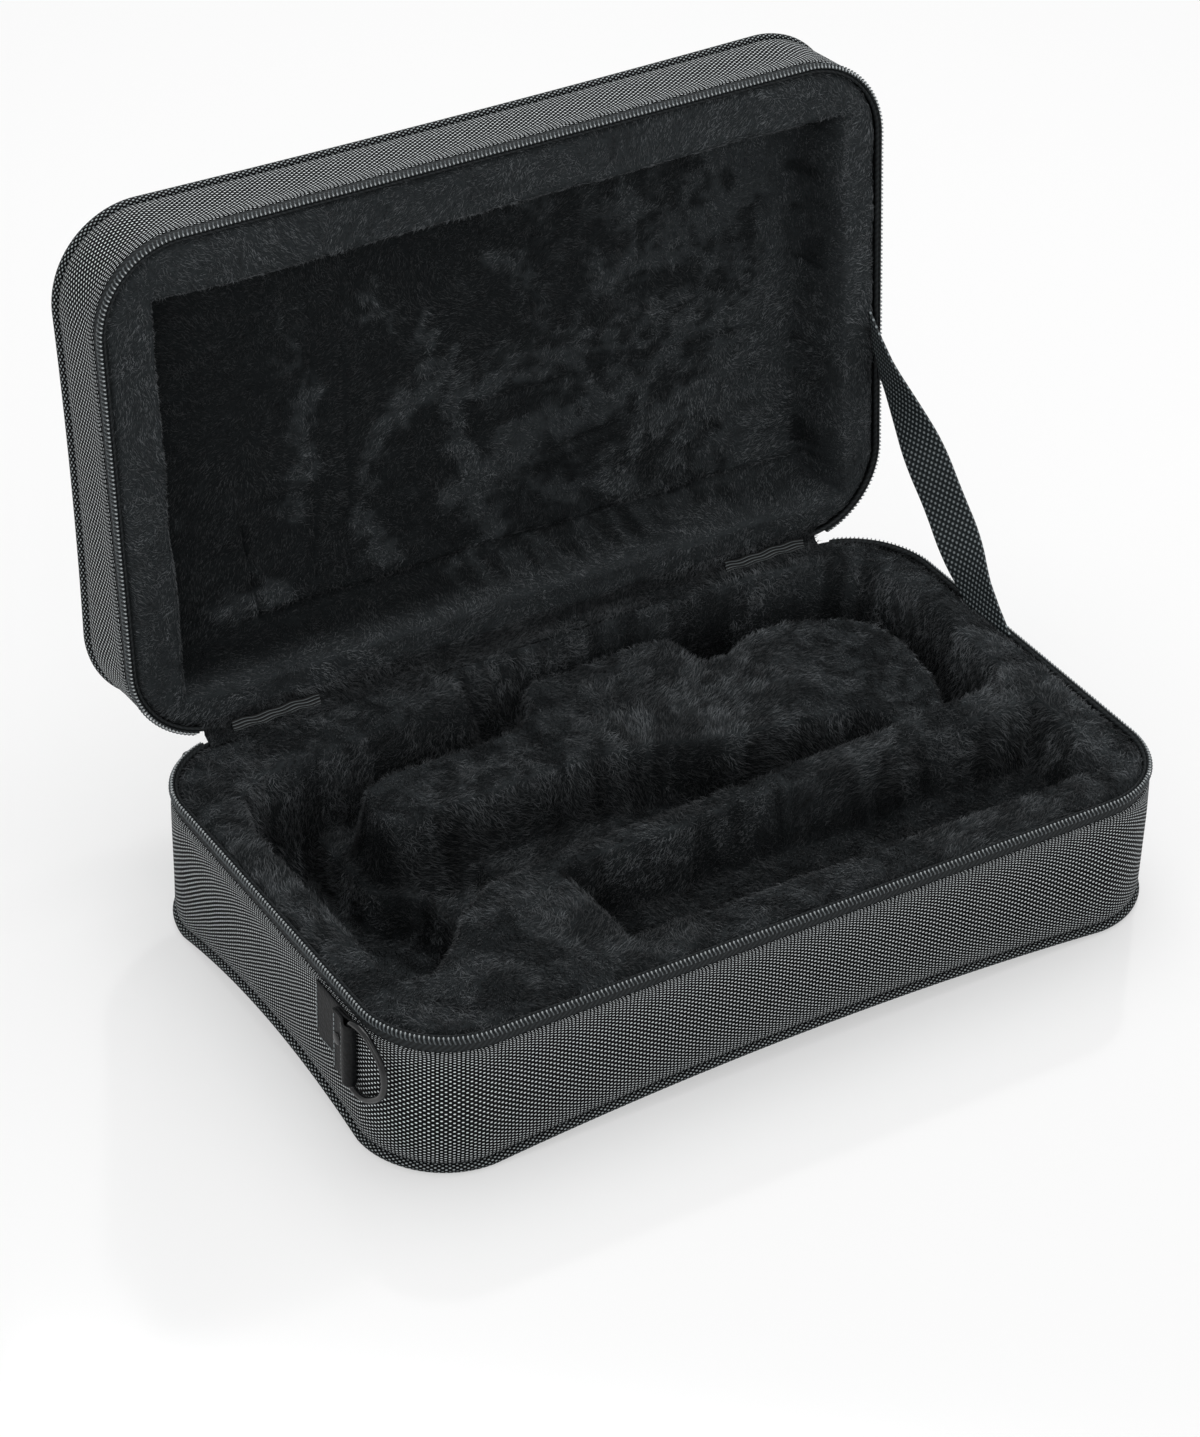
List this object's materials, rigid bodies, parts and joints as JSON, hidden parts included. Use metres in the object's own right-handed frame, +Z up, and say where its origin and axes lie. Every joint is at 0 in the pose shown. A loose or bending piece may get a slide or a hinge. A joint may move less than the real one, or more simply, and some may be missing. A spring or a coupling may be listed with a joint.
{
  "type": "zippered cornet case",
  "caption": "Soft foam case for a cornet, zipped all round, shown open: nylon shell, plush lining shaped for the instrument, stay strap and D-rings.",
  "frame": {"origin": "centre of the base's plan on its flat underside", "axes": "+X along the case to the right as seen from the front, +Y from the front to the hinge, +Z up"},
  "size_m": [0.4852, 0.3666, 0.3717],
  "materials": {
    "nylon": "woven nylon, light dots on black",
    "piping": "the same nylon sewn round a cord",
    "zip_cloth": "dark woven tape",
    "coil": "nylon coil",
    "binding": "dark edge tape",
    "plush": "short crushed pile",
    "foam": "expanded foam",
    "leather": "grained artificial leather",
    "webbing": "ribbed webbing",
    "ring_metal": "gloss black",
    "slider_metal": "black"
  },
  "bodies": {
    "base_shell": {"base_outer_panel": "nylon", "base_side_cover": "nylon", "base_piping": "piping", "base_zip_tape": "zip_cloth", "base_zip_coil": "coil", "base_rim_binding": "binding", "base_foam_shell": "foam", "cradle_floor_block": "foam", "valve_island_block": "foam", "front_divider_block": "foam", "rear_ledge_block": "foam", "base_plush_liner": "plush", "hinge_cloth": "nylon", "hinge_ribbon_left": "webbing", "hinge_ribbon_right": "webbing", "stay_strap": "webbing", "d_ring_loop_left": "leather", "d_ring_patch_left": "leather", "d_ring_rivet_left": "ring_metal", "d_ring_loop_right": "leather", "d_ring_patch_right": "leather", "d_ring_rivet_right": "ring_metal", "zip_slider_left": "slider_metal", "zip_slider_right": "slider_metal"},
    "lid": {"lid_outer_panel": "nylon", "lid_side_cover": "nylon", "lid_piping": "piping", "lid_zip_tape": "zip_cloth", "lid_zip_coil": "coil", "lid_rim_binding": "binding", "lid_foam_shell": "foam", "lid_plush_liner": "plush"},
    "d_ring_left": {"d_ring_left": "ring_metal"},
    "d_ring_right": {"d_ring_right": "ring_metal"},
    "zip_pull_left": {"zip_pull_left": "slider_metal"},
    "zip_pull_right": {"zip_pull_right": "slider_metal"}
  },
  "joints": [
    {"name": "lid_hinge", "type": "hinge", "parent": "base_shell", "child": "lid", "pos_m": [0, 0.1425, 0.0862], "axis": [1, 0, 0], "range_deg": [0, 95.3], "deforming": ["stay_strap", "hinge_cloth", "hinge_ribbon_left", "hinge_ribbon_right"]},
    {"name": "d_ring_left_swing", "type": "hinge", "parent": "base_shell", "child": "d_ring_left", "pos_m": [-0.239, -0.092, 0.0567], "axis": [0, 0, -1], "range_deg": [0, 150]},
    {"name": "d_ring_right_swing", "type": "hinge", "parent": "base_shell", "child": "d_ring_right", "pos_m": [0.239, 0.092, 0.0567], "axis": [0, 0, -1], "range_deg": [0, 150]},
    {"name": "zip_pull_left_swing", "type": "hinge", "parent": "base_shell", "child": "zip_pull_left", "pos_m": [-0.20622, 0.14352, 0.076], "axis": [0.9271, 0.3749, 0], "range_deg": [0, 80]},
    {"name": "zip_pull_right_swing", "type": "hinge", "parent": "base_shell", "child": "zip_pull_right", "pos_m": [0.20622, 0.14352, 0.076], "axis": [0.9271, -0.3749, 0], "range_deg": [0, 80]}
  ]
}
